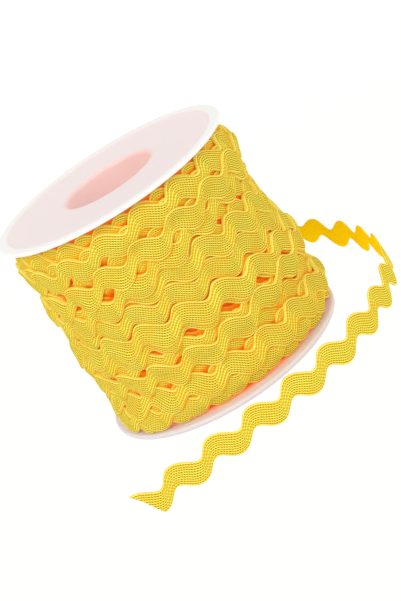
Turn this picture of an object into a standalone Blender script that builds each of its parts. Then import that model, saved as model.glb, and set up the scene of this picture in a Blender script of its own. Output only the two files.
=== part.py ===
"""Roll of ric rac: wavy braid wound in rows on a plastic spool, with one loose end.

The spool stands upright on its lower flange. +Z is the spool's axis and the origin is the middle of
its underside. Lengths are metres.
"""
import math

import bmesh
import bpy
import numpy as np
from mathutils import Matrix, Vector

# Spool, turned as one piece
SPOOL_HEIGHT = 0.0580
FLANGE_RADIUS = 0.0325
FLANGE_THICKNESS = 0.0014
FLANGE_ROUND = 0.0005
RIM_BAND = 0.0028
FACE_RECESS = 0.0004
RECESS_SLOPE = 0.0003
BORE_RADIUS = 0.0123
MOUTH_ROUND = 0.0010
HUB_RADIUS = 0.0141
SPOOL_STEPS = 72
MOUTH_STEPS = 3
ROUND_STEPS = 2

# Braid
BRAID_WIDTH = 0.0085
WAVE_RISE = 0.00155
BRAID_THICKNESS = 0.0010
BAND_WIDTH = BRAID_WIDTH - 2 * WAVE_RISE

# Winding
PIECE_GAP = 0.0003
WAVES_PER_TURN = 18
STEPS_PER_WAVE = 6
BASE_RADIUS = 0.0305
LEVEL_HEIGHT = 0.0012
ROW_CROWN = 0.00015
EDGE_SLOPE = 0.00030
RISE_SIDE = math.radians(-60)

# One line for each row, from the lower flange up: height of its middle, how much higher it lies on
# the side RISE_SIDE, the angle of one crest in degrees, and how far it is raised over the deep rows.
ROWS = [
    dict(height=0.0050, lean=0.0000, crest=-101, level=0.05),
    dict(height=0.0094, lean=-0.0004, crest=-109, level=0.60),
    dict(height=0.0166, lean=0.0010, crest=-101, level=1.10),
    dict(height=0.0212, lean=0.0000, crest=-111, level=0.10),
    dict(height=0.0264, lean=-0.0012, crest=-95, level=1.10),
    dict(height=0.0318, lean=0.0000, crest=-113, level=-0.05),
    dict(height=0.0372, lean=0.0004, crest=-92, level=0.50),
    dict(height=0.0412, lean=0.0016, crest=-96, level=0.00),
    dict(height=0.0453, lean=0.0022, crest=-95, level=1.10),
    dict(height=0.0498, lean=0.0016, crest=-105.5, level=0.50),
    dict(height=0.0550, lean=0.0000, crest=-95, level=-0.30),
]

# Loose end: the braid stands on edge, and the route has one point under each crest of its wave, from
# the cut end, round the spool and up to the row that it leaves.
LOOSE_ROUTE = [
    (-0.0346, -0.0611, 0.0044), (-0.0236, -0.0589, 0.0044), (-0.0126, -0.0569, 0.0044),
    (-0.0014, -0.0548, 0.0044), (0.0097, -0.0522, 0.0044), (0.0203, -0.0484, 0.0044),
    (0.0301, -0.0429, 0.0045), (0.0382, -0.0354, 0.0045), (0.0443, -0.0263, 0.0045),
    (0.0480, -0.0160, 0.0044), (0.0493, -0.0050, 0.0044), (0.0482, 0.0060, 0.0044),
    (0.0451, 0.0167, 0.0048), (0.0405, 0.0268, 0.0059), (0.0351, 0.0367, 0.0074),
    (0.0265, 0.0438, 0.0084), (0.0158, 0.0465, 0.0097), (0.0047, 0.0452, 0.0111),
    (-0.0055, 0.0409, 0.0126), (-0.0145, 0.0343, 0.0140), (-0.0220, 0.0261, 0.0153),
    (-0.0282, 0.0167, 0.0160),
]
LOOSE_STEPS_PER_WAVE = 8
SCISSOR_SLANT = 0.45


def remove_all_objects():
    """Empty the scene, so that running the script twice gives the same model."""
    for item in list(bpy.data.objects):
        bpy.data.objects.remove(item, do_unlink=True)


def principled(name, color, roughness):
    """A plain Principled BSDF in one colour, given as linear red, green and blue."""
    material = bpy.data.materials.new(name)
    material.use_nodes = True
    shader = material.node_tree.nodes["Principled BSDF"]
    shader.inputs["Base Color"].default_value = (*color, 1.0)
    shader.inputs["Roughness"].default_value = roughness
    shader.inputs["Metallic"].default_value = 0.0
    return material


def add_object(name, bm, material, sharp_degrees):
    """Turn a bmesh into a smooth-shaded object whose creases over sharp_degrees stay crisp."""
    bmesh.ops.recalc_face_normals(bm, faces=bm.faces)
    mesh = bpy.data.meshes.new(name)
    bm.to_mesh(mesh)
    bm.free()
    mesh.materials.append(material)
    mesh.shade_smooth()
    mesh.set_sharp_from_angle(angle=math.radians(sharp_degrees))
    result = bpy.data.objects.new(name, mesh)
    bpy.context.scene.collection.objects.link(result)
    return result


def arc(center_r, center_z, radius, start, end, steps):
    """Points (r, z) of an arc about a centre, with its angles in degrees from +r towards +z."""
    angles = [math.radians(start + (end - start) * i / steps) for i in range(steps + 1)]
    return [(center_r + radius * math.cos(a), center_z + radius * math.sin(a)) for a in angles]


def half_spool_profile():
    """Half profile (r, z) of the spool's lower end, from the bore's wall out and back to the hub."""
    recess_edge = FLANGE_RADIUS - RIM_BAND
    mouth_center = (BORE_RADIUS + MOUTH_ROUND, FACE_RECESS + MOUTH_ROUND)
    edge_center = FLANGE_RADIUS - FLANGE_ROUND
    points = arc(*mouth_center, MOUTH_ROUND, 180, 270, MOUTH_STEPS)
    points += [(recess_edge - RECESS_SLOPE, FACE_RECESS), (recess_edge, 0.0)]
    points += arc(edge_center, FLANGE_ROUND, FLANGE_ROUND, -90, 0, ROUND_STEPS)
    points += arc(edge_center, FLANGE_THICKNESS - FLANGE_ROUND, FLANGE_ROUND, 0, 90, ROUND_STEPS)
    points += [(HUB_RADIUS, FLANGE_THICKNESS)]
    return points


def build_spool(material):
    """Spin the closed profile of both flanges, the hub and its bore about the axis."""
    lower = half_spool_profile()
    upper = [(r, SPOOL_HEIGHT - z) for r, z in reversed(lower)]
    bm = bmesh.new()
    verts = [bm.verts.new((r, 0.0, z)) for r, z in lower + upper]
    edges = [bm.edges.new((a, b)) for a, b in zip(verts, verts[1:] + verts[:1])]
    bmesh.ops.spin(bm, geom=verts + edges, cent=(0, 0, 0), axis=(0, 0, 1), angle=2 * math.pi,
                   steps=SPOOL_STEPS, use_merge=True)
    bmesh.ops.remove_doubles(bm, verts=bm.verts, dist=1e-6)
    return add_object("spool", bm, material, 50)


def row_middle(row, angle):
    """Height of a row's middle line at an angle: a slow lean plus the braid's wave."""
    wave = WAVE_RISE * math.cos(WAVES_PER_TURN * (angle - math.radians(row["crest"])))
    return row["height"] + row["lean"] * math.cos(angle - RISE_SIDE) + wave


def row_radius(row):
    """Radius of a row's face; rows that lie on top of their neighbours stand further out."""
    return BASE_RADIUS + LEVEL_HEIGHT * row["level"]


def winding_outline(angle):
    """Outline (r, z) of the wound face at one angle, from the lower flange to the upper one.

    Where two rows meet, the one that lies on top keeps its whole width, and its edge steps down to
    the row beneath it.
    """
    lowest = FLANGE_THICKNESS + PIECE_GAP
    highest = SPOOL_HEIGHT - lowest
    points = [(row_radius(ROWS[0]) - LEVEL_HEIGHT / 2, lowest)]
    start = lowest
    for row, above in zip(ROWS, ROWS[1:]):
        if row["level"] > above["level"]:
            edge = row_middle(row, angle) + BAND_WIDTH / 2
        else:
            edge = row_middle(above, angle) - BAND_WIDTH / 2
        points.append((row_radius(row) + ROW_CROWN, (start + edge) / 2))
        points.append((row_radius(row), edge - EDGE_SLOPE / 2))
        points.append((row_radius(above), edge + EDGE_SLOPE / 2))
        start = edge
    points.append((row_radius(ROWS[-1]) - LEVEL_HEIGHT / 2, highest))
    return points


def build_winding(material):
    """One closed ring: the wound face, flat ends beside the flanges and a wall round the hub."""
    inner = HUB_RADIUS + PIECE_GAP
    lowest = FLANGE_THICKNESS + PIECE_GAP
    bm = bmesh.new()
    columns = []
    count = WAVES_PER_TURN * STEPS_PER_WAVE
    for i in range(count):
        angle = 2 * math.pi * i / count
        outline = [(inner, lowest), *winding_outline(angle), (inner, SPOOL_HEIGHT - lowest)]
        turn = Matrix.Rotation(angle, 3, "Z")
        columns.append([bm.verts.new(turn @ Vector((r, 0, z))) for r, z in outline])
    for left, right in zip(columns, columns[1:] + columns[:1]):
        for j in range(len(left)):
            k = (j + 1) % len(left)
            bm.faces.new((left[j], right[j], right[k], left[k]))
    return add_object("winding", bm, material, 40)


def smooth_curve(points, steps):
    """Natural cubic spline through the points, with the given number of steps between two points."""
    knots = np.array(points)
    count = len(knots)
    matrix = np.eye(count)
    right = np.zeros_like(knots)
    for i in range(1, count - 1):
        matrix[i, i - 1:i + 2] = (1, 4, 1)
        right[i] = 6 * (knots[i + 1] - 2 * knots[i] + knots[i - 1])
    bends = np.linalg.solve(matrix, right)
    place = np.arange((count - 1) * steps + 1) / steps
    index = np.minimum(place.astype(int), count - 2)
    t = (place - index)[:, None]
    s = 1 - t
    straight = s * knots[index] + t * knots[index + 1]
    return straight + ((s ** 3 - s) * bends[index] + (t ** 3 - t) * bends[index + 1]) / 6


def build_loose_end(material):
    """The loose braid: a wavy band on edge along its route, closed by a slanting cut and a plain end."""
    steps = LOOSE_STEPS_PER_WAVE
    path = smooth_curve(LOOSE_ROUTE, steps)
    along = np.gradient(path, axis=0)
    place = np.arange(len(path)) / steps
    bm = bmesh.new()
    rings = []
    for i, middle in enumerate(path):
        tangent = Vector(along[i]).normalized()
        side = tangent.cross(Vector((0, 0, 1))).normalized()
        up = side.cross(tangent)
        fade = max(0.0, 1.0 - place[i])
        ring = []
        for across, thick in ((-1, -1), (1, -1), (1, 1), (-1, 1)):
            slip = SCISSOR_SLANT * fade * (1 - across) / 2
            wave = WAVE_RISE * math.cos(2 * math.pi * (place[i] + slip))
            step = tangent * (slip * np.linalg.norm(along[i]) * steps)
            offset = up * (wave + across * BAND_WIDTH / 2) + side * (thick * BRAID_THICKNESS / 2)
            ring.append(bm.verts.new(Vector(middle) + step + offset))
        rings.append(ring)
    for near, far in zip(rings, rings[1:]):
        for j in range(4):
            k = (j + 1) % 4
            bm.faces.new((near[j], near[k], far[k], far[j]))
    bm.faces.new(rings[0])
    bm.faces.new(reversed(rings[-1]))
    return add_object("loose_end", bm, material, 60)


def build_all():
    """Model the spool, the winding and the loose end."""
    remove_all_objects()
    plastic = principled("frosted_plastic", (0.86, 0.74, 0.73), 0.35)
    braid = principled("yellow_braid", (0.86, 0.63, 0.06), 0.85)
    build_spool(plastic)
    build_winding(braid)
    build_loose_end(braid)


build_all()
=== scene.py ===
# %% [markdown]
# # A roll of ric rac
#
# Ric rac is a flat braid that is woven so that it swings from side to side. Here some metres of it
# are wound on a plastic spool, and the last stretch has sprung loose and curls round the roll. This
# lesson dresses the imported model: the solids give every size and place, and the cells below lay the
# braid turn by turn, mould the spool and paint both.

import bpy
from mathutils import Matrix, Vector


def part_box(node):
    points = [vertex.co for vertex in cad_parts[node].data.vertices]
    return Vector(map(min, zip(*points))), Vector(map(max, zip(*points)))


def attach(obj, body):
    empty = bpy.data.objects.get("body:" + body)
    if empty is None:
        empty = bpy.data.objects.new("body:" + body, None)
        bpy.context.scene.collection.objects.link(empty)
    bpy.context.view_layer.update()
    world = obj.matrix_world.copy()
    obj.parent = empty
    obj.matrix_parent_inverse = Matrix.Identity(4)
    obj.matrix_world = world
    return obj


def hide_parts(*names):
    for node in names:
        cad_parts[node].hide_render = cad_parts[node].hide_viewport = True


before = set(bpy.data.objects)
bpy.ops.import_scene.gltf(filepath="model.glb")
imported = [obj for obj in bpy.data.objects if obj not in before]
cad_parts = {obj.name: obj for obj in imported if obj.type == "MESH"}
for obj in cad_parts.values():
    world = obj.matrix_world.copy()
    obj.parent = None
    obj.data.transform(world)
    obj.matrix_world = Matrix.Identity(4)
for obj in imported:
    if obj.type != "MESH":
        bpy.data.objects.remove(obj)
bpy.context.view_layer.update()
print("nodes:", sorted(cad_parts))

# %% Other tools
import math

import bpy
import numpy as np
from mathutils import Matrix, Vector

# %% [markdown]
# ## Sizes
#
# The spool's own box gives its radius and its height, so nothing here can drift away from the solid.
# The braid's sizes are those of the solid too: its waves rise and fall by WAVE_RISE about its middle
# line, and its band is BAND_WIDTH wide, measured straight up and down.

# %% Sizes read from the solids
spool_low, spool_high = (np.array(corner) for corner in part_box("spool"))
RADIUS = (spool_high[0] - spool_low[0]) / 2
HEIGHT = spool_high[2] - spool_low[2]
winding_low, winding_high = (np.array(corner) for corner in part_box("winding"))
LOWEST, HIGHEST = winding_low[2], winding_high[2]
WAVE_RISE = 0.00155
WAVE_LENGTH = 0.0112
BAND_WIDTH = 0.0055
BRAID_WIDTH = 0.0085
print(f"spool {2000 * RADIUS:.1f} mm across and {1000 * HEIGHT:.1f} mm high")

# %% [markdown]
# ## The camera
#
# The picture was turned after it was taken: its upright lines lean by a third of a right angle. The
# camera therefore stands in front of the roll, looks a little down on it, and is rolled about its own
# line of sight. Its place was found by fitting both flanges and the bore to the picture.

# %% Camera
CAMERA_PLACE = (0.00289, -0.37575, 0.14959)
CAMERA_ELEVATION = math.radians(19.43)
CAMERA_ROLL = math.radians(-32.98)
CAMERA_LENS = 91.97


def make_camera():
    """Looks along +Y, tipped down by the elevation, then rolled about the line of sight."""
    data = bpy.data.cameras.new("camera")
    data.lens = CAMERA_LENS
    data.clip_start, data.clip_end = 0.01, 20
    made = bpy.data.objects.new("camera", data)
    bpy.context.scene.collection.objects.link(made)
    tip = Matrix.Rotation(math.pi / 2 - CAMERA_ELEVATION, 4, "X")
    roll = Matrix.Rotation(CAMERA_ROLL, 4, "Z")
    made.matrix_world = Matrix.Translation(CAMERA_PLACE) @ tip @ roll
    bpy.context.scene.camera = made
    return made


camera = make_camera()
print("camera at", [round(v, 4) for v in camera.location])

# %% [markdown]
# ## Surfaces on a grid
#
# Every piece is a tube of rings: a ring of points is carried along a path, round a circle or along
# the braid. One function turns such a grid of points into a mesh. It is told whether the last ring
# joins the first, it closes the two ends otherwise, and it turns the faces outwards by the sign of
# the volume that they hold.

# %% From a grid of points to a mesh


def enclosed_volume(points, quads):
    """Volume within quads: a third of each face's area vector times its first corner, added up."""
    a, b, c, d = (points[quads[:, k]] for k in range(4))
    area = np.cross(c - a, d - b) / 2
    return float((area * a).sum() / 3)


def ring_piece(name, points, uv, material, wraps=False, fields=()):
    """Makes one closed mesh of rings.

    points has the shape (rings, points in a ring, 3). uv has one more column than points, and one
    more row where the rings wrap round. fields are (name, values) pairs, one value a point.
    """
    rings, size = points.shape[:2]
    rows, columns = np.meshgrid(np.arange(rings if wraps else rings - 1), np.arange(size), indexing="ij")
    rows = np.stack([rows, rows + 1, rows + 1, rows], -1).reshape(-1, 4)
    columns = np.stack([columns, columns, columns + 1, columns + 1], -1).reshape(-1, 4)
    quads = (rows % rings) * size + columns % size
    corner_uv = uv[rows, columns]
    flat = points.reshape(-1, 3)
    if enclosed_volume(flat, quads) < 0:
        quads, corner_uv = quads[:, ::-1], corner_uv[:, ::-1]
        ends = [np.arange(size)[::-1], np.arange(size) + (rings - 1) * size]
    else:
        ends = [np.arange(size), np.arange(size)[::-1] + (rings - 1) * size]
    if wraps:
        ends = []
    end_uv = [uv[end // size, end % size] for end in ends]
    mesh = bpy.data.meshes.new(name)
    mesh.from_pydata(flat.tolist(), [], quads.tolist() + [end.tolist() for end in ends])
    layer = mesh.uv_layers.new(name="weave")
    layer.data.foreach_set("uv", np.concatenate([corner_uv.reshape(-1, 2), *end_uv]).ravel())
    for field, values in fields:
        mesh.attributes.new(field, "FLOAT", "POINT").data.foreach_set("value", values.ravel())
    mesh.materials.append(material)
    mesh.shade_smooth()
    mesh.set_sharp_from_angle(angle=math.radians(60))
    made = bpy.data.objects.new(name, mesh)
    bpy.context.scene.collection.objects.link(made)
    print(f"{name}: {len(mesh.polygons)} faces")
    return made


# %% [markdown]
# ## Shader maths as Python
#
# A pattern on the braid is a formula of two numbers: how far along it a point lies, and how far
# across. The class below wraps one socket, so that a formula is written as Python and each operator
# adds a Math node. Any other node comes from the one method `node`.

# %% Sockets that can be added and multiplied


class Flow:
    """A number, colour or vector on its way out of one socket."""

    def __init__(self, paint, socket):
        self.paint = paint
        self.socket = socket

    def math(self, operation, *others):
        """The Math node of that operation on this flow and the others."""
        sockets = dict(enumerate((self, *others)))
        return self.paint.node("ShaderNodeMath", {"operation": operation}, sockets)

    def __add__(self, other):
        return self.math("ADD", other)

    def __sub__(self, other):
        return self.math("SUBTRACT", other)

    def __mul__(self, other):
        return self.math("MULTIPLY", other)

    def __rsub__(self, other):
        return self * -1.0 + other

    def __pow__(self, other):
        return self.math("POWER", other)

    __radd__ = __add__
    __rmul__ = __mul__

    def wave(self):
        """1 where this number is whole, falling to 0 half way between two whole numbers."""
        return (self * math.tau).math("COSINE") * 0.5 + 0.5

    def rise(self, start, end):
        """0 up to start, 1 from end on, and smooth between them."""
        settings = {"interpolation_type": "SMOOTHSTEP"}
        sockets = {0: self, 1: start, 2: end, 3: 0.0, 4: 1.0}
        return self.paint.node("ShaderNodeMapRange", settings, sockets)


class Paint:
    """One material, its shader and the nodes that feed it."""

    def __init__(self, name, **constants):
        self.material = bpy.data.materials.new(name)
        self.material.use_nodes = True
        self.tree = self.material.node_tree
        self.shader = self.tree.nodes["Principled BSDF"]
        self.set(**constants)

    def set(self, **sockets):
        """Sets or links the shader's sockets; an underscore in a name stands for a space."""
        for name, value in sockets.items():
            self.feed(self.shader.inputs[name.replace("_", " ")], value)

    def feed(self, socket, value):
        """Links a flow to the socket, or writes a plain value into it."""
        if isinstance(value, Flow):
            self.tree.links.new(value.socket, socket)
        else:
            socket.default_value = value

    def node(self, kind, settings, sockets, out=0):
        """Adds a node: its settings first, then its sockets, and returns one of its outputs."""
        made = self.tree.nodes.new(kind)
        for name, value in settings.items():
            setattr(made, name, value)
        for key, value in sockets.items():
            self.feed(made.inputs[key], value)
        return Flow(self, made.outputs[out])

    def blend(self, share, first, second):
        """A colour that goes from first to second as share goes from 0 to 1."""
        settings = {"data_type": "RGBA"}
        return self.node("ShaderNodeMix", settings, {0: share, 6: first, 7: second}, out=2)

    def place(self):
        """A point's place in the piece's own space, in metres."""
        return self.node("ShaderNodeTexCoord", {}, {}, out="Object")

    def noise(self, size):
        """Smooth noise from 0 to 1 whose lumps are about size metres across."""
        sockets = {"Vector": self.place(), "Scale": 1 / size, "Detail": 2.0}
        return self.node("ShaderNodeTexNoise", {"noise_dimensions": "3D"}, sockets)

    def parts(self, vector, count):
        """The first count parts of a vector: x, y and z."""
        return [self.node("ShaderNodeSeparateXYZ", {}, {0: vector}, out=k) for k in range(count)]

    def attribute(self, name):
        """One of the piece's own fields."""
        return self.node("ShaderNodeAttribute", {"attribute_name": name}, {}, out="Fac")

    def bump(self, height, distance):
        """A normal for a height that goes from 0 to 1, where 1 is distance metres high."""
        return self.node("ShaderNodeBump", {}, {"Height": height, "Distance": distance})


def tone(red, green, blue):
    """Linear colour of a screen colour: each channel is ((c / 255 + 0.055) / 1.055) to the 2.4."""
    return tuple(((c / 255 + 0.055) / 1.055) ** 2.4 for c in (red, green, blue)) + (1.0,)


# %% [markdown]
# ## Yellow braid
#
# About ten ribs run along the band and follow its waves. Each rib is a chain of small slanted
# stitches, and between two ribs the stitches leave rows of dark dots, which are painted shade in the
# holes between the stitches. The mesh has the ribs, and the shader adds the stitches. It also paints
# the light: a highlight on each rib's crest and along the band's edges, and shade in the valleys
# between ribs and beside higher edges. Light that falls into the roll is passed from turn to turn and
# comes back orange, so the material also reads how deep a point lies under the roll's face and paints
# orange shade and glow there.
#
# In the narrow neck of each wave the ribs bunch up in pairs, so only half as many show there. The
# loose end bunches less, because nothing presses it.

# %% Braid material
RIBS = 10
STITCH = 0.00066
WOBBLE_SIZE = 0.0016
FUZZ_SIZE = 0.0004
PATCH_SIZE = 0.006
STITCH_HEIGHT = 0.00010
BRAID_GLOW = 0.22
BLACK = (0.0, 0.0, 0.0, 1.0)
# The braid's colours, with painted highlights, painted shade and painted glow among them.
RIB_HIGHLIGHT = tone(255, 255, 122)
RIB_SHADE = tone(228, 190, 0)
VALLEY_SHADE_GOLD = tone(238, 180, 0)
DOT_SHADE = tone(118, 84, 0)
EDGE_HIGHLIGHT = tone(255, 246, 118)
BACK_GOLD = tone(246, 196, 0)
PATCH_AND_SHADE_GOLD = tone(240, 164, 0)
GAP_SHADE_ORANGE = tone(226, 104, 0)
GLOW_ORANGE = tone(220, 104, 0)
BACK_GLOW = tone(232, 206, 0)


def run_along(count):
    """Metres along the middle of the braid: a small step is the root of its run and its rise squared."""
    fine = np.arange(np.floor(count.min()), np.ceil(count.max()) + 0.02, 0.02)
    steps = np.hypot(np.diff(fine) * WAVE_LENGTH, np.diff(WAVE_RISE * np.cos(math.tau * fine)))
    return np.interp(count, fine, np.concatenate([[0], np.cumsum(steps)]))


ONE_WAVE = np.ptp(run_along(np.arange(2.0)))
print(f"one wave of braid: {1000 * ONE_WAVE:.1f} mm")


def braid_paint(name, under_shade=0.0, bunch=0.85, front_glow=BLACK):
    """Ribs, stitches and dots from the weave map, with painted highlights on the crests and the edges,
    painted shade in the valleys and the dots, and painted orange shade and glow from the depth.

    The weave map holds metres along the braid and the share across it, plus 1 on the side behind.
    gold is the share of painted shade, a deeper yellow, over the whole colour, bunch is how far the ribs
    pair up in a neck, and lit is the colour of the painted glow that the front gives off.
    """
    paint = Paint(name, Roughness=0.8, Specular_IOR_Level=0.0)
    weave = paint.node("ShaderNodeUVMap", {"uv_map": "weave"}, {})
    along, across = paint.parts(weave, 2)
    behind = across.rise(1.0, 1.02)
    wobble = paint.noise(WOBBLE_SIZE) - 0.5
    ribs = (across + wobble * 0.05) * RIBS
    neck = (along * (1 / ONE_WAVE) + 0.25).wave().rise(0.6, 0.95) * bunch
    crest = (ribs + 0.5).wave()
    crest = crest + ((ribs * 0.5 + 0.25).wave() - crest) * neck
    stitches = along * (1 / STITCH) + wobble * 0.8
    grain = (stitches + ribs.math("FLOOR") * 0.5).wave()
    hole = (stitches + (ribs + 0.5).math("FLOOR") * 0.5 + 0.25).wave()
    fuzz = paint.noise(FUZZ_SIZE)
    patch = paint.noise(PATCH_SIZE)
    dots = (1 - crest) ** 0.7 * hole * (1 - neck * 0.6)
    from_middle = (across.math("FRACT") - 0.5).math("ABSOLUTE")
    edge = from_middle.rise(0.455, 0.48)
    # Painted shade in the valleys between ribs, a painted highlight on their crests, and painted shade
    # in the holes as dots.
    valley = paint.blend(from_middle.rise(0.1, 0.4), RIB_SHADE, VALLEY_SHADE_GOLD)
    color = paint.blend(crest * (0.6 + grain * 0.5) + fuzz * 0.3 - 0.2, valley, RIB_HIGHLIGHT)
    color = paint.blend(dots, color, DOT_SHADE)
    # A painted highlight along both edges of the band.
    color = paint.blend(edge * 0.7, color, EDGE_HIGHLIGHT)
    # Random patches of a deeper yellow, and on the under layer the same yellow over all as painted
    # shade.
    color = paint.blend(patch.rise(0.35, 0.75) * 0.2 + under_shade, color, PATCH_AND_SHADE_GOLD)
    color = paint.blend(behind * 0.98, color, BACK_GOLD)
    # Painted shade: a deeper yellow beside a higher edge, and orange deep in a gap.
    beside, depth = paint.attribute("beside"), paint.attribute("depth")
    color = paint.blend(beside.rise(0.0001, 0.0005) * 0.75, color, PATCH_AND_SHADE_GOLD)
    color = paint.blend(depth.rise(0.0006, 0.0010) * 0.9, color, GAP_SHADE_ORANGE)
    # A painted glow: orange deep in a gap, yellow from the side behind, and on the loose end a faint
    # yellow from the front.
    glow = paint.blend(depth.rise(0.0004, 0.0012), front_glow, GLOW_ORANGE)
    glow = paint.blend(behind, glow, BACK_GLOW)
    relief = crest * 0.5 + crest * grain * 0.3 + fuzz * 0.2
    paint.set(Base_Color=color, Normal=paint.bump(relief, STITCH_HEIGHT), Emission_Color=glow,
              Emission_Strength=BRAID_GLOW)
    return paint.material


braid_yellow = braid_paint("braid_yellow")
# The under layer gets painted shade over all of it.
braid_under_shade = braid_paint("braid_under_shade", under_shade=0.12)
# The loose end's front gives off a faint painted glow.
braid_loose = braid_paint("braid_loose", bunch=0.4, front_glow=tone(156, 146, 0))
print("braid materials:", braid_yellow.name, braid_under_shade.name, braid_loose.name)

# %% [markdown]
# ## The braid's cross-section and its waves
#
# Across the band the braid is a flat lens with ten ribs. The ring starts at the lower edge, runs up
# the face with one point on each rib and one in each valley, and comes back down the other side.
#
# The waves aren't plain cosines. Laid flat, the braid falls slowly and broadly and climbs fast in a
# narrow neck, and its bends are round outside and tight inside. Both come from sliding the points
# along the braid: the upper edge runs a little ahead of the lower one.

# %% Cross-section and wave
THICKNESS = 0.00085
RIB_HEIGHT = 0.00007
EDGE_SHARE = 0.35
PRESSED = 0.00020
TIGHT = 0.12


def braid_ring(loose):
    """Out-of-face place of each point of one ring, and its share across for the weave map.

    The face's height is half the thickness, times a share that falls to EDGE_SHARE at the edges with
    the fourth power of the distance from the middle, less RIB_HEIGHT in every valley. The loose
    braid has the same face behind. The wound braid is pressed PRESSED deep into what lies under it.
    """
    share = np.linspace(0, 1, 2 * RIBS + 1)
    lens = 1 - (1 - EDGE_SHARE) * np.abs(2 * share - 1) ** 4
    valley = np.where(np.arange(2 * RIBS + 1) % 2 == 0, RIB_HEIGHT, 0.0)
    face = THICKNESS / 2 * lens - valley
    back = np.arange(2 * RIBS, -1, -1 if loose else -5)
    lift = np.concatenate([face, -face[back] if loose else 0 * back - THICKNESS / 2 - PRESSED])
    return lift, np.concatenate([share, share[back]])


def braid_wave(count, share):
    """Slip along the braid, in waves, and rise from its middle line, in metres.

    With side from -1 at the lower edge to 1 at the upper one and turn = tau times the wave count:
    slip = -0.005 + 0.055 side - (0.03 + 0.02 side) cos(turn), and
    rise = WAVE_RISE (cos(turn) - TIGHT side cos(2 turn)) + half the band's width times side.
    """
    turn = math.tau * count
    side = 2 * share[None] - 1
    slip = -0.005 + 0.055 * side - (0.03 + 0.02 * side) * np.cos(turn)
    rise = WAVE_RISE * (np.cos(turn) - TIGHT * side * np.cos(2 * turn)) + BAND_WIDTH / 2 * side
    return slip, rise


print("points round the wound braid:", len(braid_ring(loose=False)[0]))

# %% [markdown]
# ## The loose end
#
# The last stretch stands on edge on the table, curls round the roll and climbs back to its row behind
# it. The route is a list of points, one under each crest of the braid's wave. They are the points of
# the solid that this piece replaces. A natural cubic spline joins them without a kink, and the wave of
# the cell above runs along it. On the far side of the loop the braid hangs slack, so its waves are a
# little higher there and run ahead of the points.

# %% Loose end
ROUTE = np.array([
    (-0.0346, -0.0611, 0.0044), (-0.0236, -0.0589, 0.0044), (-0.0126, -0.0569, 0.0044),
    (-0.0014, -0.0548, 0.0044), (0.0097, -0.0522, 0.0044), (0.0203, -0.0484, 0.0044),
    (0.0301, -0.0429, 0.0045), (0.0382, -0.0354, 0.0045), (0.0443, -0.0263, 0.0045),
    (0.0480, -0.0160, 0.0044), (0.0493, -0.0050, 0.0044), (0.0482, 0.0060, 0.0044),
    (0.0451, 0.0167, 0.0048), (0.0405, 0.0268, 0.0059), (0.0351, 0.0367, 0.0074),
    (0.0265, 0.0438, 0.0084), (0.0158, 0.0465, 0.0097), (0.0047, 0.0452, 0.0111),
    (-0.0055, 0.0409, 0.0126), (-0.0145, 0.0343, 0.0140), (-0.0220, 0.0261, 0.0153),
    (-0.0282, 0.0167, 0.0160),
])
ROUTE_STEPS = 24
SCISSOR_SLANT = 0.50
LOOSE_SCALE = 1.03
SLACK_PLACE = 11.6
SLACK_REACH = 1.3
SLACK_LEAD = 0.24
SLACK_SCALE = 0.10
SLACK_LIFT = 0.0003


def smooth_curve(knots, steps):
    """Natural cubic spline through the knots: its bends solve m[i-1] + 4 m[i] + m[i+1] = 6 times the
    second difference of the knots, and are nil at both ends."""
    count = len(knots)
    matrix = np.eye(count) * 4 + np.eye(count, k=1) + np.eye(count, k=-1)
    matrix[0], matrix[-1] = np.eye(count)[0], np.eye(count)[-1]
    right = np.zeros_like(knots)
    right[1:-1] = 6 * np.diff(knots, 2, axis=0)
    bends = np.linalg.solve(matrix, right)
    place = np.arange((count - 1) * steps + 1) / steps
    index = np.minimum(place.astype(int), count - 2)
    t = (place - index)[:, None]
    s = 1 - t
    line = s * knots[index] + t * knots[index + 1]
    return place, line + ((s ** 3 - s) * bends[index] + (t ** 3 - t) * bends[index + 1]) / 6


def unit(vectors):
    """The vectors with length one."""
    return vectors / np.linalg.norm(vectors, axis=-1, keepdims=True)


def path_length(points):
    """Place of each point along a path, in metres."""
    return np.concatenate([[0], np.cumsum(np.linalg.norm(np.diff(points, axis=0), axis=1))])


loose_place, loose_path = smooth_curve(ROUTE, ROUTE_STEPS)


def loose_points():
    """Every point is the route, plus up times the rise, plus side times the place out of the face.

    Each point slides along the route by its slip. Near the cut end the lower points slide further,
    so that the scissor cut slants. slack is a bell round SLACK_PLACE: there the waves run ahead by
    SLACK_LEAD, and are raised by SLACK_SCALE of their height and by SLACK_LIFT.
    """
    lift, share = braid_ring(loose=True)
    cut = SCISSOR_SLANT * np.clip(1 - loose_place, 0, 1)[:, None] * (1 - share[None])
    slack = np.exp(-((loose_place - SLACK_PLACE) / SLACK_REACH) ** 2)[:, None]
    slip, rise = braid_wave(loose_place[:, None] + cut + SLACK_LEAD * slack, share)
    rise = rise * (LOOSE_SCALE + SLACK_SCALE * slack) + SLACK_LIFT * slack
    tangent = unit(np.gradient(loose_path, axis=0))
    side = unit(np.cross(tangent, (0, 0, 1)))
    up = np.cross(side, tangent)
    pitch = np.linalg.norm(np.gradient(loose_path, axis=0), axis=1)[:, None] * ROUTE_STEPS
    points = loose_path[:, None] + tangent[:, None] * ((slip + cut) * pitch)[..., None]
    points += up[:, None] * rise[..., None] + side[:, None] * lift[None, :, None]
    along = run_along(loose_place[:, None] + slip + cut)
    across = share + (np.arange(len(share)) > 2 * RIBS)
    return points, np.stack([along, np.broadcast_to(across, rise.shape)], -1)


def with_seam(uv):
    """The map with its first column again at the end, where the ring closes."""
    return np.concatenate([uv, uv[:, :1]], axis=1)


points, uv = loose_points()
loose_braid = ring_piece("loose_braid", points, with_seam(uv), braid_loose)
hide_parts("loose_end")
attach(loose_braid, "root")

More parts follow.
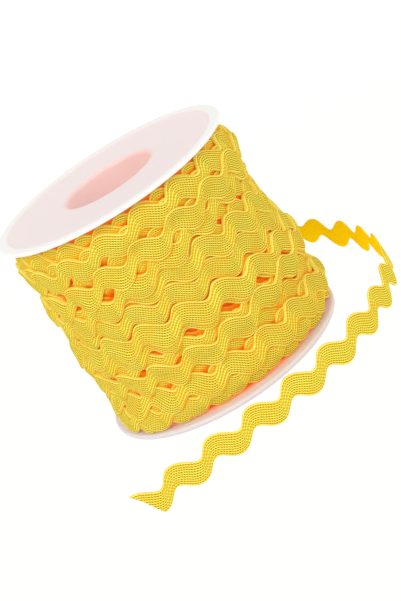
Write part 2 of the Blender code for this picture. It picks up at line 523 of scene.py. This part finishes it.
# %% [markdown]
# ## Winding, turn by turn
#
# A roll gets its look from the way it is wound: every turn lies on what is already there, sags into
# the gaps and rides over the edges. So the roll is kept as a map of radii over angle and height.
# Laying a turn takes the map under the band, softened over SAG steps of angle and height, puts the
# braid on it and writes the higher radius back. Turns that are laid later cover the earlier ones, as
# on the real spool.

# %% The map of radii
MAP_ANGLES = 720
MAP_HEIGHTS = 220
CORE_RADIUS = 0.0290
SAG = (5, 3)
map_angle = np.arange(MAP_ANGLES) * math.tau / MAP_ANGLES
map_height = np.linspace(LOWEST, HIGHEST, MAP_HEIGHTS)


def soften(field, around, upward):
    """Gaussian mean of the map over some angle steps and some height steps, round and round in angle."""
    for reach, axis in ((around, 0), (upward, 1)):
        shifts = np.arange(-3 * reach, 3 * reach + 1)
        weights = np.exp(-(shifts / reach) ** 2 / 2)
        index = np.arange(field.shape[axis])[:, None] + shifts[None]
        index = index % field.shape[0] if axis == 0 else np.clip(index, 0, field.shape[1] - 1)
        picked = np.take(field, index, axis=axis)
        field = np.tensordot(picked, weights / weights.sum(), axes=(axis + 1, 0))
    return field


def look_up(field, angle, height):
    """Value of the map at angles and heights, straight between its points."""
    x = (angle / math.tau * MAP_ANGLES) % MAP_ANGLES
    y = np.clip((height - LOWEST) / (HIGHEST - LOWEST), 0, 1) * (MAP_HEIGHTS - 1)
    i, j = x.astype(int) % MAP_ANGLES, np.minimum(y.astype(int), MAP_HEIGHTS - 2)
    s, t = x - np.floor(x), y - j
    k = (i + 1) % MAP_ANGLES
    near = field[i, j] * (1 - t) + field[i, j + 1] * t
    far = field[k, j] * (1 - t) + field[k, j + 1] * t
    return near * (1 - s) + far * s


print("map of", MAP_ANGLES, "by", MAP_HEIGHTS, "radii")

# %% [markdown]
# ## The rows that show
#
# The table gives the outer turns in the order in which they come off the roll, so the last one laid
# is first. Heights are shares of the flange's radius at the left, the middle and the right of the
# front and at the back, and crest is the angle of one crest near the middle. The braid is one
# strip, so each row's right end climbs or falls round the back to the next row's left end.

# %% Rows of the outer layer
ROWS = [
    dict(left=0.475, middle=0.480, right=0.610, back=0.700, crest=-101.0, pitch=19.6),
    dict(left=0.795, middle=0.815, right=0.715, back=0.960, crest=-94.5, pitch=20.6),
    dict(left=1.230, middle=1.410, right=1.490, back=1.480, crest=-96.0, pitch=20.6),
    dict(left=1.455, middle=1.600, right=1.605, back=1.330, crest=-87.5, pitch=21.2),
    dict(left=1.040, middle=1.270, right=1.420, back=1.270, crest=-90.5, pitch=20.0),
    dict(left=1.150, middle=1.155, right=1.090, back=1.000, crest=-91.0, pitch=20.4),
    dict(left=0.960, middle=0.980, right=0.920, back=0.780, crest=-94.0, pitch=20.8),
    dict(left=0.670, middle=0.765, right=0.740, back=0.640, crest=-95.5, pitch=20.2),
    dict(left=0.620, middle=0.580, right=0.600, back=0.470, crest=-105.0, pitch=20.6),
    dict(left=0.330, middle=0.280, right=0.270, back=0.220, crest=-89.5, pitch=20.4),
    dict(left=0.178, middle=0.193, right=0.190, back=0.185, crest=-101.0, pitch=20.8),
    dict(left=0.180, middle=0.175, right=0.175, back=0.180, crest=-90.0, pitch=20.4),
]
ROW_ANGLES = {"left": -150.0, "middle": -90.0, "right": -30.0, "back": 90.0}
WAVE_ANGLE = 20.2


def table_column(name):
    """One column of the table of rows."""
    return np.array([row[name] for row in ROWS])


def row_knots():
    """Angles and heights that the middle line of the strip passes, from its start at the loose end."""
    turns = 360.0 * np.arange(len(ROWS))
    angles = np.stack([turns + angle for angle in ROW_ANGLES.values()], -1).ravel()
    heights = np.stack([table_column(name) for name in ROW_ANGLES], -1).ravel() * RADIUS
    start = math.degrees(math.atan2(ROUTE[-1, 1], ROUTE[-1, 0])) - 360
    return np.append(start, angles), np.append(ROUTE[-1, 2], heights)


def wave_knots(start):
    """Angles and wave counts: fixed at both sides of the front, with whole waves from row to row."""
    crest, pitch = table_column("crest"), table_column("pitch")
    left = (ROW_ANGLES["left"] - crest) / pitch
    right = (ROW_ANGLES["right"] - crest) / pitch
    behind = 360 + ROW_ANGLES["left"] - ROW_ANGLES["right"]
    gain = left[1:] - right[:-1]
    gain += np.round(behind / WAVE_ANGLE - gain)
    shift = np.concatenate([[0], np.cumsum(right[:-1] + gain - left[1:])])
    turns = 360.0 * np.arange(len(ROWS))
    angles = np.stack([turns + ROW_ANGLES["left"], turns + ROW_ANGLES["right"]], -1).ravel()
    counts = np.stack([left + shift, right + shift], -1).ravel()
    first = np.round(counts[0] - (angles[0] - start) / WAVE_ANGLE)
    return np.append(start, angles), np.append(first, counts)


knot_angles, knot_heights = row_knots()
wave_angles, wave_counts = wave_knots(knot_angles[0])
print(f"outer strip: {(knot_angles[-1] - knot_angles[0]) / 360:.1f} turns")

# %% [markdown]
# A strip is described by its angle, its middle height and its wave count at every step. The straight
# lines between the knots are rounded off by a running mean, because a braid can't turn a corner.

# %% Strips
STRIP_STEP = 1.4
ROUNDING = 36.0
FLANGE_ROOM = 0.0001
EASING = np.array([1, 2, 3, 2, 1]) / 9


def running_mean(angles, values):
    """Mean of the values over ROUNDING degrees, with each end carried on along its own line."""
    half = int(ROUNDING / 2 / (angles[1] - angles[0]))
    head = 2 * values[0] - values[half:0:-1]
    tail = 2 * values[-1] - values[-2:-half - 2:-1]
    padded = np.concatenate([head, values, tail])
    return np.convolve(padded, np.ones(2 * half + 1) / (2 * half + 1), mode="valid")


def strip_lines(step, angles, heights, waves_at, waves):
    """Angle, middle height and wave count at every step of degrees along a strip."""
    steps = np.arange(angles[0], angles[-1] + 1e-6, step)
    middle = running_mean(steps, np.interp(steps, angles, heights))
    count = running_mean(steps, np.interp(steps, waves_at, waves))
    return np.radians(steps), middle, count


def lay_strip(field, middle_angle, middle, count):
    """Lays a strip on the map, its far end first and a turn at a time.

    Under the band the braid follows the softened map. It lies on it with its own thickness, and the
    map keeps the result wherever the band covers it. Returns the map and the strip's angles, heights,
    radii and weave map.
    """
    lift, share = braid_ring(loose=False)
    slip, rise = braid_wave(count[:, None], share)
    angle = middle_angle[:, None] + slip * math.radians(WAVE_ANGLE)
    height = np.clip(middle[:, None] + rise, LOWEST + FLANGE_ROOM, HIGHEST - FLANGE_ROOM)
    radius = np.zeros_like(height)
    turn = ((middle_angle - middle_angle[0]) / math.tau).astype(int)
    for number in range(turn.max(), -1, -1):
        part = turn == number
        under = soften(field, *SAG)
        radius[part] = look_up(under, angle[part], height[part])
        edges = [np.interp(map_angle, angle[part][:, k], height[part][:, k], period=math.tau)
                 for k in (0, 2 * RIBS)]
        reached = (map_angle - angle[part][0, 0]) % math.tau <= np.ptp(middle_angle[part]) + 0.03
        covered = (map_height > edges[0][:, None]) & (map_height < edges[1][:, None])
        field = np.where(covered & reached[:, None], under + THICKNESS, field)
    eased = np.pad(radius, ((2, 2), (0, 0)), mode="edge")
    radius = sum(weight * eased[k:k + len(radius)] for k, weight in enumerate(EASING))
    radius += THICKNESS / 2 + lift[None]
    along = run_along(count[:, None] + slip)
    return field, angle, height, radius, np.stack([along, np.broadcast_to(share, height.shape)], -1)


def wound_piece(name, material, strip, faces):
    """A strip's mesh: each point at its angle, height and radius, with its depth under each face.

    A depth is the softened map's radius less the point's own. The points behind take the depth of
    the face in front of them, so that the edges stay light.
    """
    angle, height, radius, uv = strip
    points = np.stack([radius * np.cos(angle), radius * np.sin(angle), height], -1)
    front = np.concatenate([radius[:, :2 * RIBS + 1], radius[:, 2 * RIBS::-5]], axis=1)
    fields = [(field, look_up(face, angle, height) - front) for field, face in faces.items()]
    piece = ring_piece(name, points, with_seam(uv), material, fields=fields)
    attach(piece, "root")
    return piece


# %% [markdown]
# ## Laying the roll
#
# The under layer is wound evenly, and closely enough to hide the core but for slits. The roll isn't
# a true cylinder: it swells a little on one side, low down. Then the outer strip is laid over it.
# The finished map is softened twice. A point under the sharper one lies beside a higher edge, and a
# point far under the smoother one lies deep in a gap, where only orange light comes back. The braid's
# material paints shade from these two depths.

# %% Lay the strips
UNDER_TURNS = 14
UNDER_PITCH = 360 / 17.5
UNDER_CREST = 75
BESIDE_SOFT = (2, 3)
DEPTH_SOFT = (6, 7)
SWELLS = [
    dict(size=0.0025, angle=0, reach=40, height=0.0155, spread=0.010),
    dict(size=0.0014, angle=-25, reach=45, height=0.000, spread=0.005),
    dict(size=0.0022, angle=-4, reach=25, height=0.000, spread=0.005),
    dict(size=0.0038, angle=-146, reach=28, height=0.000, spread=0.005),
    dict(size=0.0004, angle=-20, reach=30, height=0.057, spread=0.005),
    dict(size=-0.0008, angle=-172, reach=30, height=0.038, spread=0.005),
    dict(size=-0.0014, angle=-172, reach=28, height=0.009, spread=0.004),
]


def swollen_core():
    """Radius of the core: CORE_RADIUS plus swells that fade with angle and height as bells."""
    radius = np.full((MAP_ANGLES, MAP_HEIGHTS), CORE_RADIUS)
    for swell in SWELLS:
        turn = (np.degrees(map_angle) - swell["angle"] + 180) % 360 - 180
        around = np.exp(-(turn / swell["reach"]) ** 2)
        upward = np.exp(-((map_height - swell["height"]) / swell["spread"]) ** 2)
        radius += swell["size"] * around[:, None] * upward[None]
    return radius


field = swollen_core()
under_angles = 360.0 * np.array([0.0, 1.2, UNDER_TURNS - 1.6, UNDER_TURNS])
under_heights = np.array([LOWEST, LOWEST, HIGHEST, HIGHEST])
under_heights += np.array([1, 1, -1, -1]) * BRAID_WIDTH / 2
under_waves = (under_angles - under_angles[-1] + UNDER_CREST) / UNDER_PITCH
under_lines = strip_lines(STRIP_STEP, under_angles, under_heights, under_angles, under_waves)
field, *under_strip = lay_strip(field, *under_lines)
outer_lines = strip_lines(STRIP_STEP, knot_angles, knot_heights, wave_angles, wave_counts)
field, *outer_strip = lay_strip(field, *outer_lines)
faces = {"beside": soften(field, *BESIDE_SOFT), "depth": soften(field, *DEPTH_SOFT)}
print(f"roll radius: {1000 * outer_strip[2].min():.1f} to {1000 * outer_strip[2].max():.1f} mm")

# %% Mesh the strips and the core
winding_rows = wound_piece("winding_rows", braid_yellow, outer_strip, faces)
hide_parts("winding")
winding_under = wound_piece("winding_under", braid_under_shade, under_strip, faces)


def turned_piece(name, profile, material, steps):
    """A profile of (radius, height) points carried once round the axis."""
    turn = np.arange(steps) * math.tau / steps
    radius, height = profile[None, :, 0], profile[None, :, 1] + 0 * turn[:, None]
    points = np.stack([radius * np.cos(turn)[:, None], radius * np.sin(turn)[:, None], height], -1)
    run = np.append(path_length(profile), path_length(np.concatenate([profile, profile[:1]]))[-1])
    around = np.arange(steps + 1) * math.tau / steps * RADIUS
    uv = np.stack(np.broadcast_arrays(around[:, None], run[None]), -1)
    piece = ring_piece(name, points, uv, material, wraps=True)
    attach(piece, "root")
    return piece


HUB_RADIUS = 0.0144
core_profile = np.array([(HUB_RADIUS, LOWEST), (CORE_RADIUS, LOWEST),
                         (CORE_RADIUS, HIGHEST), (HUB_RADIUS, HIGHEST)])
# The core is painted deep orange, as shade deep in the slits, and gives off a painted orange glow.
core_paint = Paint("core_painted_shade", Base_Color=tone(230, 100, 0), Roughness=0.9,
                   Emission_Color=GLOW_ORANGE, Emission_Strength=0.25)
winding_core = turned_piece("winding_core", core_profile, core_paint.material, steps=96)

# %% [markdown]
# ## The spool
#
# The spool is moulded from a milky plastic that lets some light through. Its flanges have a raised
# rim with round corners, and the face inside the rim is a little lower. The profile is made of arcs
# and straight lines and turned once about the axis. The lower flange is a little wider and thicker
# than the upper one. Light and shade are painted on the plastic: a glow all over, the winding's tint
# where it lies behind the flange, shade in the bore and on the lower flange, and salmon light and
# glow where the lower flange lies close to the yellow braid.

# %% Spool profile
FLANGE = 0.0014
UPPER_FLANGE = 0.0010
LOWER_RADIUS = RADIUS + 0.0007
FLANGE_ROUND = 0.0005
RIM_BAND = 0.0028
FACE_RECESS = 0.0004
BORE_RADIUS = 0.0123
MOUTH_ROUND = 0.0010
HUB_WALL = 0.0018


def arc(center, radius, start, end, steps):
    """Points of an arc in the (radius, height) plane, with its angles in degrees."""
    angle = np.radians(np.linspace(start, end, steps))
    return np.stack([center[0] + radius * np.cos(angle), center[1] + radius * np.sin(angle)], -1)


def half_profile(rim, thickness):
    """One flange, from the bore's wall out over its face and its rim and back to the hub."""
    return np.concatenate([
        arc((BORE_RADIUS + MOUTH_ROUND, FACE_RECESS + MOUTH_ROUND), MOUTH_ROUND, 180, 270, 8),
        [(rim - RIM_BAND - 0.0008, FACE_RECESS)],
        [(rim - RIM_BAND - 0.0003, FACE_RECESS * 0.9), (rim - RIM_BAND, FACE_RECESS * 0.1)],
        [(rim - RIM_BAND + 0.0003, 0.0)],
        arc((rim - FLANGE_ROUND, FLANGE_ROUND), FLANGE_ROUND, -90, 0, 7),
        arc((rim - FLANGE_ROUND, thickness - FLANGE_ROUND), FLANGE_ROUND, 0, 90, 7),
        [(BORE_RADIUS + HUB_WALL, thickness)],
    ])


def spool_profile():
    """The lower flange, the hub and the bore, and the upper flange mirrored above them."""
    upper = half_profile(RADIUS, UPPER_FLANGE)[::-1] * (1, -1) + (0, HEIGHT)
    return np.concatenate([half_profile(LOWER_RADIUS, FLANGE), upper])


# Colours of the plastic. All but the first are painted light and shade: a tint seen through the flange,
# shade, and glow.
PLASTIC = tone(228, 228, 224)
SEEN_THROUGH_PINK = tone(226, 210, 208)
BORE_SHADE_SALMON = tone(231, 190, 181)
SHADED_LILAC = tone(206, 196, 199)
WINDING_LIGHT_SALMON = tone(240, 176, 150)
LOW_EDGE_SHADE = tone(186, 180, 186)
PLASTIC_GLOW = tone(150, 146, 146)
NEAR_GLOW = tone(236, 176, 140)
NEAR_WINDING = (0.0285, 0.0318)
MOTTLE_SIZE = 0.004
GRAIN_SIZE = 0.0008
GRAIN_HEIGHT = 0.00001


def plastic_paint():
    """Milky white with a faint painted glow, a painted pink tint where the winding lies behind the
    flange, and painted salmon shade deep in the bore.

    The lower flange has painted shade, lilac and grey at its lower edge, and painted salmon light
    near the winding.
    """
    paint = Paint("frosted_plastic", Roughness=0.35, Subsurface_Weight=0.3,
                  Subsurface_Radius=(1.0, 0.6, 0.5), Subsurface_Scale=0.003,
                  Emission_Strength=0.35)
    x, y, height = paint.parts(paint.place(), 3)
    from_axis = (x * x + y * y) ** 0.5
    backed = 1 - from_axis.rise(RADIUS - 1.15 * RIM_BAND, RADIUS - 0.75 * RIM_BAND)
    bore = 1 - from_axis.rise(BORE_RADIUS, BORE_RADIUS + 2 * MOUTH_ROUND)
    # Painted: a pink tint where the winding lies behind the flange, and salmon shade in the bore.
    color = paint.blend(backed, PLASTIC, SEEN_THROUGH_PINK)
    color = paint.blend(bore, color, BORE_SHADE_SALMON)
    mottle = paint.noise(MOTTLE_SIZE)
    grain = paint.noise(GRAIN_SIZE)
    color = paint.blend(mottle * 0.25, color, PLASTIC)
    # Painted shade on the lower flange, grey at its lower edge, and painted salmon light near the
    # winding.
    low = 1 - height.rise(0.001, 0.004)
    outside = from_axis.rise(*NEAR_WINDING)
    lilac = paint.blend(outside, WINDING_LIGHT_SALMON, SHADED_LILAC)
    lilac = paint.blend(height.rise(0.0002, 0.0007), LOW_EDGE_SHADE, lilac)
    color = paint.blend(low, color, lilac)
    # A painted glow over all of the plastic, salmon where the lower flange lies near the winding.
    glow = paint.blend(low * (1 - outside), PLASTIC_GLOW, NEAR_GLOW)
    paint.set(Base_Color=color, Emission_Color=glow, Roughness=grain * 0.15 + 0.3,
              Normal=paint.bump(grain, GRAIN_HEIGHT))
    return paint.material


spool_body = turned_piece("spool_body", spool_profile(), plastic_paint(), steps=192)
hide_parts("spool")

# %% [markdown]
# ## Table and light
#
# The roll stands on plain white with soft light from everywhere, as in a product picture. One large
# lamp on the left gives the ribs their relief.

# %% Table, lamps and sky
TABLE_REACH = 1.5
TABLE_DROP = 0.0002
SKY_STRENGTH = 0.74


def make_table():
    """A white sheet that reaches TABLE_REACH each way, just under the spool."""
    side = np.array([-TABLE_REACH, TABLE_REACH])
    x, y = np.meshgrid(side, side, indexing="ij")
    corners = np.stack([x, y, 0 * x - TABLE_DROP], -1).reshape(-1, 3)
    mesh = bpy.data.meshes.new("table")
    mesh.from_pydata(corners.tolist(), [], [(0, 2, 3, 1)])
    sheet = Paint("table_white", Base_Color=BLACK, Roughness=1.0,
                  Emission_Color=tone(255, 255, 251), Emission_Strength=1.0)
    mesh.materials.append(sheet.material)
    made = bpy.data.objects.new("table", mesh)
    bpy.context.scene.collection.objects.link(made)
    return made


def make_lamp(name, azimuth, elevation, distance, size, watts):
    """A square lamp that shines on the roll from an azimuth and an elevation in degrees."""
    turn, climb = math.radians(azimuth), math.radians(elevation)
    way = Vector((math.sin(turn) * math.cos(climb), -math.cos(turn) * math.cos(climb), math.sin(climb)))
    data = bpy.data.lights.new(name, "AREA")
    data.size = size
    data.energy = watts
    made = bpy.data.objects.new(name, data)
    made.location = way * distance
    made.rotation_euler = way.to_track_quat("Z", "Y").to_euler()
    bpy.context.scene.collection.objects.link(made)


make_table()
make_lamp("key", azimuth=-40, elevation=40, distance=0.9, size=0.5, watts=2.8)
make_lamp("fill", azimuth=55, elevation=30, distance=1.0, size=0.8, watts=2.2)
world = bpy.data.worlds.new("sky")
bpy.context.scene.world = world
world.use_nodes = True
sky = world.node_tree.nodes["Background"]
sky.inputs["Color"].default_value = (1, 1, 1, 1)
sky.inputs["Strength"].default_value = SKY_STRENGTH
bpy.context.scene.view_settings.view_transform = "Standard"
